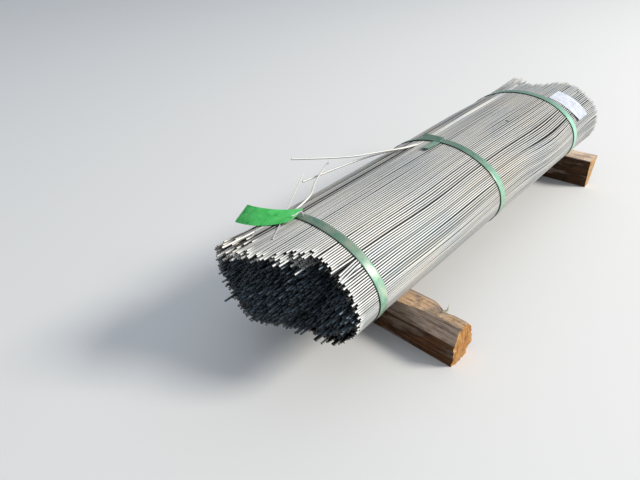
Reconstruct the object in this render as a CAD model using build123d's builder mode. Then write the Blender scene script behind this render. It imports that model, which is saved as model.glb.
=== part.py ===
# Bundle of straight steel tie rods, held by three straps and stored on two timber bearers.
# Millimetres. +Y runs along the rods, from the end where the green tag hangs, and +Z is up.
# The origin is on the underside of the front bearer, below the bundle's long axis.
import math
import os
import random

from build123d import *

# Rods
rod_diameter = 4.0
rod_length = 1000.0
rod_sides = 6  # flats that stand for a rod's round
rod_gap = 0.3  # between neighbours of the outer row
row_pitch = 3.6  # from one row of rods to the next, nested in its valleys
skin_rows = 2  # rows modelled rod by rod, around the hidden middle

# Bundle
bundle_width = 300.0
bundle_height = 200.0
near_end = -188.0  # where the right-hand rods start, on average
top_slip = 84.0  # how far the left-hand rods have slid towards the near end, at the top
bottom_slip = 52.0  # and at the bottom
crest_x = -47.0  # where the top ones have slid furthest
crest_fall = 0.46  # how much less they have slid for each millimetre aside
top_fold = 31.0  # x of the middle of the step between slid and unslid rods, at the top
bottom_fold = -40.0
fold_bow = 68.0  # how far the step bows to the right halfway up
top_reach = 16.0  # from the middle of the step to its end, at the top
bottom_reach = 65.0
end_stagger = 14.0  # how unevenly the rods' ends stand
core_recess = 6.0  # the hidden middle ends this far behind the average rod
core_slip = 50.0  # how far its left-hand end has slid
core_sides = 40  # flats that stand for its oval

# Bearers
bearer_height = 80.0
back_overhang = 7.0  # right-hand rods beyond the back bearer's middle
seat_gap = 0.1  # bundle above its bearers
front_width = 66.0
front_left = 205.0
front_right = 236.0
front_bevel_height = 56.0  # upright part of the sawn front face
front_bevel_depth = 27.0
front_top_flat = 17.0
front_foot_inset = 6.0  # the bark side tucks in below
back_width = 52.0
back_left = 185.0
back_right = 170.0
back_edge_break = 1.5

# Straps
strap_width = 19.0
strap_thickness = 1.0
strap_gap = 0.2  # strap above the rods
strap_front_inset = 51.0  # from the right-hand rods' near end
strap_back_inset = 143.0  # from their far end
strap_middle_shift = 11.5  # of the middle strap, away from halfway between the others
joint_start = 92.0  # where the middle strap's ends overlap, in degrees from the right
joint_sweep = 20.0
tail_start = 94.0
tail_sweep = 7.5
tail_length = 28.0

# Label beside the back strap
label_thickness = 0.4
label_width = 60.0
label_start = 23.0  # degrees from the right, along the outline
label_sweep = 43.0
label_clearance = 14.0  # from the back strap

# Tag, its tie and a length of binding wire
tag_width = 41.0
tag_thickness = 0.6
tag_hole_radius = 2.5
tag_hole_inset = 9.0
tag_end_x = -38.0  # middle of the tied end
tag_end_y = -10.5  # from the front strap's middle
tag_end_lift = 14.0  # above the rods' outline
tag_short_side = (-9.0, -35.0, -15.0)  # direction of the tag's short side
tag_middle_line = [(-121.5, -27, -31), (-66, -22, -18), (0, 0, 0)]  # from the tied end
tie_radius = 0.7
tie_rise = 14.0
tie_foot_x = -28.0
wire_radius = 1.0
wire_lift = 0.5  # over the rods' outline
wire_starts = (-14.0, -81.0)  # x, and y from the front strap's middle
wire_lifts_off = (-46.0, -35.0)
wire_free_end = [(-24, 41, 3.5), (-55, 113, 33.5)]  # from where it lifts off

# Rods that have sprung out of the outer row: place in the row, and the free part's points,
# from where the rod has climbed out and as shares of the rods' length
sprung_from_middle = {
    56: [(-0.033, -0.065, 0.005), (-0.062, -0.135, 0.011), (-0.116, -0.235, 0.034)],
    58: [(-0.032, -0.06, -0.001), (-0.059, -0.12, -0.006), (-0.082, -0.234, -0.008)],
}
sprung_from_front = {63: [(-0.026, 0.034, 0.003), (-0.046, 0.074, 0.007), (-0.064, 0.12, 0.01)]}
sprung_rise = 7.0  # how far it climbs
sprung_run = 42.0  # in this length
sprung_clearance = 16.0  # straight part beyond the strap
arc_share = 0.45  # of the shorter run, taken up by the arc at a corner

# Worked out
rod_radius = rod_diameter / 2
bundle_centre = bearer_height + seat_gap + bundle_height / 2
half_width = bundle_width / 2
half_height = bundle_height / 2
section_plane = Plane.XZ.shift_origin((0, 0, bundle_centre))
far_end = near_end + rod_length
back_bearer_y = far_end - back_overhang
strap_front_y = near_end + strap_front_inset  # near edge of each strap
strap_back_y = far_end - strap_back_inset - strap_width
strap_middle_y = (strap_front_y + strap_back_y) / 2 + strap_middle_shift
label_y = strap_back_y + strap_width + label_clearance


def blend(low, high, share):
    """A value between low and high."""
    return low + (high - low) * share


def level(z):
    """Height z as a share of the bundle's height."""
    return (z - bundle_centre) / bundle_height + 0.5


def fold(z):
    """Middle and reach of the step between slid and unslid rods at height z."""
    bow = 4 * fold_bow * level(z) * (1 - level(z))
    return blend(bottom_fold, top_fold, level(z)) + bow, blend(bottom_reach, top_reach, level(z))


def rod_start(x, z):
    """Average near end of the rods at x and z, in the smooth step that the slid rods make."""
    middle, reach = fold(z)
    share = min(max((x - middle + reach) / (2 * reach), 0.0), 1.0)
    slid = blend(bottom_slip, top_slip - crest_fall * abs(x - crest_x), level(z))
    return near_end - slid * (1 - share * share * (3 - 2 * share))


def on_top(x, y, lift):
    """A point above the bundle's upper outline."""
    return Vector(x, y, bundle_centre + half_height * math.sqrt(1 - (x / half_width) ** 2) + lift)


outer_row = Ellipse(half_width - rod_radius, half_height - rod_radius).edge()
rods_in_row = int(outer_row.length / (rod_diameter + rod_gap))


def row_places(row):
    """x and z of each rod in a row, counted anticlockwise from the right-hand side."""
    half_step = 0.5 * (row % 2)
    for index in range(rods_in_row):
        along = (index + half_step) / rods_in_row
        inward = (outer_row % along).rotate(Axis.Z, 90)
        at = outer_row @ along + inward * row * row_pitch
        yield index, at.X, bundle_centre + at.Y


def band(start, sweep, inner_gap, thickness, y_from, width):
    """A strip that lies around the bundle from one angle to another, as wide as it runs along y."""
    inner = (half_width + inner_gap, half_height + inner_gap)
    outer = (inner[0] + thickness, inner[1] + thickness)
    with BuildPart() as strip:
        with BuildSketch(section_plane.offset(-y_from)):
            with BuildLine():
                low = EllipticalCenterArc((0, 0), *inner, start, arc_size=sweep)
                high = EllipticalCenterArc((0, 0), *outer, start, arc_size=sweep)
                Line(low @ 0, high @ 0)
                Line(low @ 1, high @ 1)
            make_face()
        extrude(amount=-width)
    return strip.part


def strap(y_from):
    """A closed strap drawn round the bundle, with its near edge at y_from."""
    inner = (half_width + strap_gap, half_height + strap_gap)
    with BuildPart() as loop:
        with BuildSketch(section_plane.offset(-y_from)):
            Ellipse(inner[0] + strap_thickness, inner[1] + strap_thickness)
            Ellipse(*inner, mode=Mode.SUBTRACT)
        extrude(amount=-strap_width)
    return loop.part


def bend_radii(corners):
    """The largest arc at each corner of a route that its two runs leave room for."""
    radii = []
    for before, corner, after in zip(corners, corners[1:], corners[2:]):
        run_in, run_out = corner - before, after - corner
        half_turn = math.radians(run_in.get_angle(run_out)) / 2
        radii.append(arc_share * min(run_in.length, run_out.length) / math.tan(half_turn))
    return radii


def bent_rod(points, radius):
    """A rod along straight runs, joined by arcs."""
    with BuildPart() as rod:
        with BuildLine() as route:
            FilletPolyline(*points, radius=bend_radii(points))
        with BuildSketch(Plane(origin=route.line @ 0, z_dir=route.line % 0)):
            RegularPolygon(radius, rod_sides)
        sweep()
    return rod.part


def sprung_rod(held_end, strap_edge, clearance, free_points):
    """Centre line of a rod that is straight to a strap, climbs out of its row and swings free."""
    towards = math.copysign(1, clearance)
    leaves = Vector(held_end.X, strap_edge + clearance, held_end.Z)
    climbed = leaves + Vector(0, towards * sprung_run, sprung_rise)
    free = [climbed + Vector(*point) * rod_length for point in free_points]
    return [held_end, leaves, climbed] + free


# The outer rods, in two rows of separate bars, all of one length with staggered ends
random.seed(7)
sprung_rods = []
starts = []
for row in range(skin_rows):
    for index, x, z in row_places(row):
        start = Vector(x, rod_start(x, z) + random.uniform(-end_stagger, end_stagger), z)
        if row == 0 and index in sprung_from_middle:
            end = start + Vector(0, rod_length, 0)
            free = sprung_from_middle[index]
            sprung_rods.append(sprung_rod(end, strap_middle_y, -sprung_clearance, free))
        elif row == 0 and index in sprung_from_front:
            strap_edge = strap_front_y + strap_width
            free = sprung_from_front[index]
            sprung_rods.append(sprung_rod(start, strap_edge, sprung_clearance, free))
        else:
            starts.append(start)

with BuildPart() as outer_rods:
    with BuildSketch(Plane.XZ):
        RegularPolygon(rod_radius, rod_sides)
    rod = extrude(amount=-rod_length, mode=Mode.PRIVATE)
    with Locations(*starts):
        add(rod)
outer_rods.part.label = "outer_rods"

# The hidden rods, as one plain middle: an oval bar in three steps, which follow the slid rods
core_inset = 2 * rod_radius + (skin_rows - 1) * row_pitch + rod_gap


def fold_line(share):
    """The line across the section where the step is a share of the way up."""
    points = []
    for height in (-half_height, 0, half_height):
        middle, reach = fold(bundle_centre + height)
        points.append((middle + (2 * share - 1) * reach, height))
    return points


def core_step(left_line, right_line, slid):
    """The part of the middle between two lines, slid towards the near end."""
    with BuildPart() as step:
        with BuildSketch(section_plane.offset(-(near_end + core_recess - slid))):
            RegularPolygon(1, core_sides)
            scale(by=(half_width - core_inset, half_height - core_inset, 1))
            with BuildLine():
                Polyline(*left_line, *reversed(right_line), close=True)
            make_face(mode=Mode.INTERSECT)
        extrude(amount=-(rod_length - 2 * core_recess))
    return step.part


left_side = [(-half_width, -half_height), (-half_width, half_height)]
right_side = [(half_width, -half_height), (half_width, half_height)]
with BuildPart() as inner_rods:
    add(core_step(left_side, fold_line(0.3), core_slip))
    add(core_step(fold_line(0.3), fold_line(0.7), core_slip / 2))
    add(core_step(fold_line(0.7), right_side, 0))
inner_rods.part.label = "inner_rods"

# Rods that have sprung out from under a strap
loose_rods = Compound([bent_rod(points, rod_radius) for points in sprung_rods])
loose_rods.label = "loose_rods"

# Straps
strap_front = strap(strap_front_y)
strap_front.label = "strap_front"
strap_back = strap(strap_back_y)
strap_back.label = "strap_back"

# The middle strap's ends overlap, and its free end is folded forward along the rods
overlap_gap = strap_gap + strap_thickness
with BuildPart() as strap_middle:
    add(strap(strap_middle_y))
    add(band(joint_start, joint_sweep, overlap_gap, strap_thickness, strap_middle_y, strap_width))
    tail_y = strap_middle_y - tail_length
    add(band(tail_start, tail_sweep, strap_gap, strap_thickness, tail_y, tail_length))
strap_middle.part.label = "strap_middle"

# Paper label that lies over the rods beside the back strap
white_label = band(label_start, label_sweep, strap_gap, label_thickness, label_y, label_width)
white_label.label = "white_label"

# Tag: a thin bent sheet, punched at its tied end
strap_front_middle = strap_front_y + strap_width / 2
tag_end = on_top(tag_end_x, strap_front_middle + tag_end_y, tag_end_lift)
across = Vector(*tag_short_side)
tag_line = Vector(*tag_middle_line[-1]) - Vector(*tag_middle_line[-2])
along = across.cross(tag_line.cross(across))
with BuildPart() as green_tag:
    for middle in tag_middle_line:
        with BuildSketch(Plane(origin=tag_end + middle, x_dir=across, z_dir=along)):
            Rectangle(tag_width, tag_thickness)
    loft(ruled=True)
    tied_end = Plane(origin=tag_end, x_dir=along, z_dir=along.cross(across))
    hole_plane = tied_end.shift_origin(tied_end.from_local_coords((-tag_hole_inset, 0, 0)))
    with BuildSketch(hole_plane):
        Circle(tag_hole_radius)
    extrude(amount=tag_hole_inset, both=True, mode=Mode.SUBTRACT)
green_tag.part.label = "green_tag"

# The tie that holds the tag: a thin loop from the hole, over the tag's end and down to the strap
tie_foot = on_top(tie_foot_x, strap_front_middle, strap_gap + strap_thickness + tie_radius)
tie_top = (hole_plane.origin + tie_foot) / 2 + Vector(0, 0, tie_rise)
tie_rim = hole_plane.origin + Vector(0, 0, tie_rise)
tag_tie = bent_rod([hole_plane.origin, tie_rim, tie_top, tie_foot], tie_radius)
tag_tie.label = "tag_tie"

# Binding wire that lies across the rods below the tag, with its free end in the air
wire_on_rods = [
    on_top(x, strap_front_middle + y, wire_lift + wire_radius)
    for x, y in (wire_starts, wire_lifts_off)
]
wire_in_air = [wire_on_rods[-1] + Vector(*point) for point in wire_free_end]
binding_wire = bent_rod(wire_on_rods + wire_in_air, wire_radius)
binding_wire.label = "binding_wire"

# Bearers
with BuildPart() as bearer_front:
    with BuildSketch(Plane.YZ.offset(-front_left)):
        with BuildLine():
            front_y = -front_width / 2
            bevel_top = (front_y + front_bevel_depth, bearer_height)
            flat_end = (bevel_top[0] + front_top_flat, bearer_height)
            foot = (front_width / 2 - front_foot_inset, 0)
            belly = (front_width / 2, bearer_height / 2)
            Polyline((front_y, 0), (front_y, front_bevel_height), bevel_top, flat_end)
            ThreePointArc(flat_end, belly, foot)
            Line(foot, (front_y, 0))
        make_face()
    extrude(amount=front_left + front_right)
bearer_front.part.label = "bearer_front"

with BuildPart() as bearer_back:
    with BuildSketch(Plane.YZ.offset(-back_left)):
        with Locations((back_bearer_y, bearer_height / 2)):
            RectangleRounded(back_width, bearer_height, back_edge_break)
    extrude(amount=back_left + back_right)
bearer_back.part.label = "bearer_back"

os.makedirs("parts", exist_ok=True)
export_step(outer_rods.part, "parts/outer_rods.step")
export_step(inner_rods.part, "parts/inner_rods.step")
export_step(loose_rods, "parts/loose_rods.step")
export_step(strap_front, "parts/strap_front.step")
export_step(strap_middle.part, "parts/strap_middle.step")
export_step(strap_back, "parts/strap_back.step")
export_step(white_label, "parts/white_label.step")
export_step(green_tag.part, "parts/green_tag.step")
export_step(tag_tie, "parts/tag_tie.step")
export_step(binding_wire, "parts/binding_wire.step")
export_step(bearer_front.part, "parts/bearer_front.step")
export_step(bearer_back.part, "parts/bearer_back.step")
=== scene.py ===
# Bundle of tie rods on two timber bearers: the looks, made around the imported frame.
# Metres. +Y runs along the rods from the tagged end, and +Z is up.
import math

import bmesh
import bpy
import numpy as np
from mathutils import Matrix, Vector, geometry, noise


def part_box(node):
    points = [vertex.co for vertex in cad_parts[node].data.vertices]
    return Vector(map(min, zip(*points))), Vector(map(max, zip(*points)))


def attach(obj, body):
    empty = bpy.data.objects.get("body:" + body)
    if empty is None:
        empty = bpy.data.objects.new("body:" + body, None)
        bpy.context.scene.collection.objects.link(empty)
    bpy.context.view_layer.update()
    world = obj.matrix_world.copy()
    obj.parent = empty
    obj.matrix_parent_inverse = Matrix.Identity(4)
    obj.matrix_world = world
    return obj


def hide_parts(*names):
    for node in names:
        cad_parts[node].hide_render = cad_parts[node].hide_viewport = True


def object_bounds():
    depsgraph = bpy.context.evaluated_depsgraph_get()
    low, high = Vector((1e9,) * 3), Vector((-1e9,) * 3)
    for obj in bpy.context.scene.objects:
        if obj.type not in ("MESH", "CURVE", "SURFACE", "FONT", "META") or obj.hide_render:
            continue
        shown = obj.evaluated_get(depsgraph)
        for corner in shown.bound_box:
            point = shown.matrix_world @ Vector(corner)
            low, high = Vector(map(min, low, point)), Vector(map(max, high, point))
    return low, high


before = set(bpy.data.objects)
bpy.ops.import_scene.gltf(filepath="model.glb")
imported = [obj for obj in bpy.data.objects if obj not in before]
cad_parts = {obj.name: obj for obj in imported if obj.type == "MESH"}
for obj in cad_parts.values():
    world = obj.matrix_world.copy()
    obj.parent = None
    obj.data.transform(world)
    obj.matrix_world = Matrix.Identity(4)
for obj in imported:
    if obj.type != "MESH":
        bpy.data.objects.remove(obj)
cad_low, cad_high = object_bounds()
MM = 0.001

# Rods
rod_radius = 2.0 * MM
rod_length = 1.0
row_gap = 0.06 * MM  # least gap between neighbours of the outer row
row_gap_spread = 0.2 * MM
wide_gap_share = 0.25
wide_gap_spread = 1.0 * MM
widest_gap = 1.5 * MM
row_pitch = 3.75 * MM  # from the outer row down to the second
heart_pitch = 4.16 * MM  # of the rods inside
heart_shake = 0.4 * MM
skin_sides = 10
heart_sides = 8
sprung_sides = 12
stations = 45  # cross-sections at which the outer rods are settled against each other
skin_points = 25  # along each outer rod

# Ends of the rods: how far they have slid, in the same form as the frame's
near_end = -188 * MM
top_slip = 84 * MM
bottom_slip = 52 * MM
crest_x = -47 * MM
crest_fall = 0.46
top_fold = 31 * MM
bottom_fold = -40 * MM
fold_bow = 68 * MM
top_reach = 16 * MM
bottom_reach = 65 * MM
end_stagger = 14 * MM
hollow_depth = 46 * MM  # how far the rods below the top ones stand back
hollow_lip = 22 * MM  # thickness of the top ones
valley_depth = 24 * MM  # groove along the step between slid and unslid rods
valley_reach = 13 * MM
fold_softness = 20 * MM
low_height = 130 * MM  # rods below it end more evenly
low_right = (50 * MM, 125 * MM)  # x of the low rods of which some stand further out
low_right_share, low_right_mm = 0.3, (6, 18)
# Rods of the slid part that have slid the other way, so they reach its far corner, as (place
# round the oval from, to, slid back from, to, share), in mm
slid_back = ((284, 330, 58, 78, 0.7), (236, 284, 22, 52, 0.6))
# Rods inside that stand forward into the light: under the top ones, and along the step
exposed_depth, exposed_right = 17 * MM, 6 * MM
step_exposed, step_reach, step_depth = -10 * MM, 16 * MM, 36 * MM
forward_share, forward_mm = 0.5, (8, 34)
stray_share, stray_mm = 0.12, (5, 22)
calm_height = 24 * MM  # of the lowest rods inside, which end more evenly

# How the rods give between the straps and beyond them
bulge_size = 0.9 * MM
bulge_reach = 90 * MM
bulge_round, bulge_along = 29, 7  # radians of its wave, once round the oval and in a metre
near_loosening = 130 * MM  # from the front strap to where the rods lie fully loose
far_loosening = 150 * MM
corner_flare = 7 * MM
flare_all_round = 0.6 * MM
splay_size = 0.9 * MM
heart_splay_size = 0.8 * MM
sunk_share = 0.35
sunk_mm = (0.3, 1.3)
wander_mm = (0.1, 0.65)
wander_lengths = (0.35, 0.9)
least_gap = 0.02 * MM
bearer_gap = 0.1 * MM
bearer_reach = 30 * MM  # how far past a bearer the rods still clear it

# Sizes that the frame gives
strap_low, strap_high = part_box("strap_front")
strap_thickness = 1.0 * MM
strap_gap = 0.2 * MM
strap_width = strap_high.y - strap_low.y
strap_edges = [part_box(name)[0].y for name in ("strap_front", "strap_middle", "strap_back")]
strap_edges[1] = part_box("strap_middle")[1].y - strap_width
strap_middles = [edge + strap_width / 2 for edge in strap_edges]
half_width = (strap_high.x - strap_low.x) / 2 - strap_thickness - strap_gap
half_height = (strap_high.z - strap_low.z) / 2 - strap_thickness - strap_gap
centre_z = (strap_high.z + strap_low.z) / 2
bearer_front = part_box("bearer_front")
bearer_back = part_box("bearer_back")


def blend(low, high, share):
    """A value between low and high."""
    return low + (high - low) * share


def smooth(share):
    """0 to 1 with level ends."""
    share = np.clip(share, 0, 1)
    return share * share * (3 - 2 * share)


def linked(name, data):
    """A mesh, curve, lamp or camera as an object at the origin."""
    piece = bpy.data.objects.new(name, data)
    bpy.context.scene.collection.objects.link(piece)
    return piece


def finished(piece, node):
    """Puts a piece in place of its node, on the bundle's one body."""
    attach(piece, "root")
    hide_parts(node)


# The oval that the outer rods' middles follow, by length from the right-hand side
ROW_WIDTH = half_width - rod_radius
ROW_HEIGHT = half_height - rod_radius
oval_angles = np.linspace(0, 2 * math.pi, 4001)
oval_x = ROW_WIDTH * np.cos(oval_angles)
oval_z = ROW_HEIGHT * np.sin(oval_angles)
oval_lengths = np.concatenate([[0], np.cumsum(np.hypot(np.diff(oval_x), np.diff(oval_z)))])
oval_length = oval_lengths[-1]


def on_oval(along, depth=0.0):
    """x and z at a length along the oval and a depth below it."""
    angle = np.interp(np.mod(along, oval_length), oval_lengths, oval_angles)
    inward = np.stack([-np.cos(angle) / ROW_WIDTH, -np.sin(angle) / ROW_HEIGHT])
    inward /= np.hypot(*inward)
    x = ROW_WIDTH * np.cos(angle) + inward[0] * depth
    z = centre_z + ROW_HEIGHT * np.sin(angle) + inward[1] * depth
    return np.stack([x, z], axis=-1)


def oval_angle(degrees):
    """Length along the oval at an angle of its ellipse."""
    return float(np.interp(math.radians(degrees), oval_angles, oval_lengths))


def arch_at(x):
    """Height of the bundle's outline above its centre."""
    return half_height * np.sqrt(np.clip(1 - (x / half_width) ** 2, 0, 1))


def level_at(z):
    """0 at the bundle's underside and 1 at its top."""
    return (z - centre_z) / (2 * half_height) + 0.5


def fold_middle(level):
    """x of the middle of the step between slid and unslid rods, at a level."""
    return blend(bottom_fold, top_fold, level) + 4 * fold_bow * level * (1 - level)


def unslid_share(x, level):
    """0 among the slid rods and 1 among the others."""
    return smooth((x - fold_middle(level)) / fold_softness)


def rod_start(x, z):
    """Average near end of the rods at x and z, in the smooth step that the slid rods make."""
    level = np.clip(level_at(z), 0, 1)
    middle = fold_middle(level)
    reach = blend(bottom_reach, top_reach, level)
    slid = blend(bottom_slip, top_slip - crest_fall * np.abs(x - crest_x), level)
    return near_end - slid * (1 - smooth((x - middle + reach) / (2 * reach)))


def hollow(x, z):
    """How far the rods below the top ones stand back, less and less towards the bottom."""
    level = level_at(z)
    from_valley = (x - fold_middle(level)) / valley_reach
    valley = valley_depth * np.exp(-from_valley ** 2) * smooth(level * 3)
    below_top = centre_z + arch_at(x) - z
    above_bottom = z - centre_z + arch_at(x)
    share = (0.85 * smooth(above_bottom / (2 * half_height))
             + 0.15 * smooth(above_bottom / half_height))
    return smooth(below_top / hollow_lip) * (hollow_depth * share + valley)


def push_apart(points, fixed, distance, passes):
    """Moves points that are too near away from each other and from the fixed ones."""
    everything = np.concatenate([points, fixed])
    count = len(points)
    for _ in range(passes):
        apart = everything[:count, None, :] - everything[None, :, :]
        gaps = np.hypot(apart[..., 0], apart[..., 1])
        gaps[np.arange(count), np.arange(count)] = 1.0
        push = np.clip(distance - gaps, 0, None) / np.maximum(gaps, 1e-9)
        share = np.full(len(everything), 1.0)
        share[:count] = 0.5
        everything[:count] += (apart * (push * share)[..., None]).sum(axis=1)
    return everything[:count]


rng = np.random.default_rng(11)

# Where the outer rods stand around the oval
most_rods = 400
gaps = row_gap + rng.random(most_rods) * row_gap_spread
wide = rng.random(most_rods) < wide_gap_share
wide_gaps = gaps + np.minimum(rng.exponential(wide_gap_spread, most_rods), widest_gap)
places = np.cumsum(2 * rod_radius + np.where(wide, wide_gaps, gaps))
first_count = int(np.searchsorted(places, oval_length))
first_places = places[:first_count] * oval_length / places[first_count - 1]
second_places = (first_places + np.roll(first_places, -1)) / 2
second_places[-1] = (first_places[-1] + oval_length) / 2

# Waves that neighbouring rods share, as (turns round the oval, wavelength along the rods,
# size, and where both start)
full_turn = 6.28
shared_waves = [
    (rng.integers(2, 15), rng.uniform(0.5, 1.5), rng.uniform(0.1, 0.5) * MM,
     *rng.uniform(0, full_turn, 2))
    for _ in range(14)
]


def shared_drift(along, y):
    """How far the rods at a place drift round the oval together."""
    drift = np.zeros(np.broadcast(along, y).shape)
    for turns, wavelength, size, phase, start in shared_waves:
        around = np.sin(2 * math.pi * turns * along / oval_length + phase)
        drift += size * around * np.sin(2 * math.pi * y / wavelength + start)
    return drift


# Cracks between rods, as (place round the oval, from y, to y, width)
crack_fade = 9 * MM  # how far round the oval a crack is felt
cracks = [
    (97 * MM, -0.115, 0.20, 1.5 * MM),
    (86 * MM, -0.115, 0.12, 1.3 * MM),
    (154 * MM, -0.25, 0.45, 1.4 * MM),
    (147 * MM, -0.20, 0.40, 1.1 * MM),
    (118 * MM, -0.10, 0.60, 1.1 * MM),
    (26 * MM, -0.12, 0.24, 1.3 * MM),
    (38 * MM, -0.30, 0.10, 1.4 * MM),
]


def add_cracks(count, draws, places_mm, middles, reaches, widths_mm):
    """Adds cracks at random, with a lowest and a highest value for each measure."""
    for _ in range(count):
        middle, reach = draws.uniform(*middles), draws.uniform(*reaches)
        place, width = draws.uniform(*places_mm) * MM, draws.uniform(*widths_mm) * MM
        cracks.append((place, middle - reach, middle + reach, width))


# All round, and then more of them across the top
add_cracks(90, rng, (0, oval_length / MM), (-0.2, 0.8), (0.08, 0.35), (0.4, 1.4))
add_cracks(26, np.random.default_rng(12), (165, 330), (0.0, 0.8), (0.08, 0.30), (0.8, 1.7))

# Groups of rods that bow round the oval together, as (place, from y, to y, size, reach)
bows = [
    (100 * MM, -0.10, 0.262, -4 * MM, 75 * MM),
    (115 * MM, 0.28, 0.64, -2.5 * MM, 75 * MM),
    (205 * MM, 0.28, 0.64, 3 * MM, 80 * MM),
]
# The widest cracks, by the back strap: rods bow round the oval together and part at three places
parting_from, parting_to = 0.37, 0.73
parting_bow = 6.5 * MM
partings = [(67 * MM, 4.4 * MM), (58 * MM, 3.2 * MM), (49 * MM, 1.8 * MM)]
parting_reach = 110 * MM
parting_fan = 50 * MM


def aside_of(along, place):
    """Length from a place on the oval, the short way round."""
    return np.mod(along - place + oval_length / 2, oval_length) - oval_length / 2


def opening(y, y_from, y_to):
    """0 to 1 and back between two places along the rods."""
    return np.sin(math.pi * np.clip((y - y_from) / (y_to - y_from), 0, 1)) ** 2


def crack_drift(along, y):
    """How far the cracks, bows and partings push a rod round the oval."""
    drift = np.zeros(np.broadcast(along, y).shape)
    for place, y_from, y_to, width in cracks:
        aside = aside_of(along, place)
        felt = np.exp(-np.abs(aside) / crack_fade) * np.sign(aside)
        drift += opening(y, y_from, y_to) * felt * width / 2
    for place, y_from, y_to, size, reach in bows:
        felt = np.exp(-(aside_of(along, place) / reach) ** 2)
        drift += opening(y, y_from, y_to) * felt * size
    aside = aside_of(along, partings[0][0])
    fanned = np.exp(-(aside / parting_fan) ** 2)
    parted = parting_bow * np.where(aside > 0, fanned, np.exp(-np.abs(aside) / parting_reach))
    for place, width in partings:
        aside = aside_of(along, place)
        parted = parted + width * (aside < 0) * np.exp(-np.abs(aside) / parting_reach)
    return drift - opening(y, parting_from, parting_to) * parted


def bulge(y):
    """How far the rods swell out between the straps."""
    nearest = np.min(np.abs(np.asarray(y)[..., None] - np.array(strap_middles)), axis=-1)
    return 1 - np.exp(-(nearest / bulge_reach) ** 2)


def loosening(y):
    """0 between the end straps, growing towards the rods' free ends."""
    near = (strap_middles[0] - y) / near_loosening
    far = (y - strap_middles[2]) / far_loosening
    return np.clip(np.maximum(near, far), 0, None)


# The outer two rows, each rod with its own ways
row_places = np.concatenate([first_places, second_places])
row_depths = np.concatenate([np.zeros(first_count), np.full(first_count, row_pitch)])
skin_count = len(row_places)
outermost = row_depths == 0
sunk = rng.random(skin_count) < sunk_share
sunk = np.where(sunk, rng.uniform(*sunk_mm, skin_count), 0) * MM
splay = rng.normal(0, splay_size, (skin_count, 2))
wander_size = rng.uniform(*wander_mm, (skin_count, 2)) * MM
wander_length = rng.uniform(*wander_lengths, (skin_count, 2))
wander_start = rng.uniform(0, full_turn, (skin_count, 2))


def nearness(degrees, reach):
    """1 for the rods at an angle of the oval, and less and less round it."""
    return np.exp(-((row_places - oval_angle(degrees)) / reach) ** 2)


upper_left = nearness(145, 70 * MM)
far_corner = nearness(128, 26 * MM)

# Rods that cross over their neighbours at the tagged end
crossing_from, crossing_to = 77 * MM, 91 * MM
crossing = outermost & (row_places > crossing_from) & (row_places < crossing_to)
crossing_slide = 9 * MM
crossing_lift = 3.4 * MM
crossing_starts = strap_edges[0] - 4 * MM
crossing_length = 62 * MM

# Rods of the outer row that spring out of it
sprung_places = (241.6 * MM, 250.2 * MM, 271.8 * MM)
sprung_indices = [int(np.argmin(np.abs(first_places - place))) for place in sprung_places]
splay[sprung_indices] = 0

# Both rows, settled at each station
station_y = np.linspace(near_end - top_slip - 20 * MM, near_end + rod_length + 30 * MM, stations)
settled = np.zeros((stations, skin_count, 2))
for index, y in enumerate(station_y):
    wander = wander_size * np.sin(2 * math.pi * y / wander_length + wander_start)
    drift = shared_drift(row_places, y) + crack_drift(row_places, y)
    along = row_places + drift * np.where(outermost, 1, 0.5)
    along = along + wander[:, 0] + splay[:, 0] * loosening(y)
    wave = np.sin(row_places / oval_length * bulge_round + y * bulge_along)
    swell = bulge_size * bulge(y) * (0.5 + 0.5 * wave)
    depth = row_depths + (sunk + wander[:, 1]) * bulge(y) - swell
    near_flare = corner_flare * upper_left + flare_all_round
    flare = near_flare * loosening(y) ** 1.6 * (y < 0)
    flare = flare + corner_flare * far_corner * loosening(y) ** 1.4 * (y > 0)
    depth = depth - flare - np.abs(splay[:, 1]) * 0.5 * loosening(y)
    crossed = smooth((crossing_starts - y) / crossing_length) * crossing
    along = along - crossing_slide * crossed
    depth = depth - crossing_lift * smooth(crossed * 4)
    points = on_oval(along, depth)
    settled[index] = push_apart(points, np.zeros((0, 2)), 2 * rod_radius + least_gap, 12)
for _ in range(2):
    settled[1:-1] = (settled[:-2] + 2 * settled[1:-1] + settled[2:]) / 4

# The bearers keep the rods off their tops
for index, y in enumerate(station_y):
    for low, high in (bearer_front, bearer_back):
        if low.y - bearer_reach < y < high.y + bearer_reach:
            lowest = high.z + rod_radius + bearer_gap
            settled[index, :, 1] = np.maximum(settled[index, :, 1], lowest)


def rod_line(index, start, end, count):
    """Points along one outer rod."""
    y = np.linspace(start, end, count)
    x = np.interp(y, station_y, settled[:, index, 0])
    z = np.interp(y, station_y, settled[:, index, 1])
    return np.stack([x, y, z], axis=1)


def evaluated_mesh(holder):
    """What an object's modifiers or curve make, as a plain mesh. The object is removed."""
    bpy.context.view_layer.update()
    evaluated = holder.evaluated_get(bpy.context.evaluated_depsgraph_get())
    mesh = bpy.data.meshes.new_from_object(evaluated)
    bpy.data.objects.remove(holder)
    return mesh


def made_mesh(name, holder):
    """What an object's modifiers make, as a piece at the origin."""
    mesh = evaluated_mesh(holder)
    mesh.name = name
    return linked(name, mesh)


def smooth_line(points, steps=10):
    """Points along the smooth curve that a few points steer."""
    curve = bpy.data.curves.new("route", "CURVE")
    curve.dimensions = "3D"
    curve.resolution_u = steps
    spline = curve.splines.new("NURBS")
    spline.points.add(len(points) - 1)
    for target, point in zip(spline.points, points):
        target.co = (*point, 1)
    spline.order_u = 3
    spline.use_endpoint_u = True
    return np.array([vertex.co[:] for vertex in evaluated_mesh(linked("route", curve)).vertices])


# Rods that have sprung out of the outer row: held where the row is, then free
held_points = 14
climb_height = 7


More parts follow.
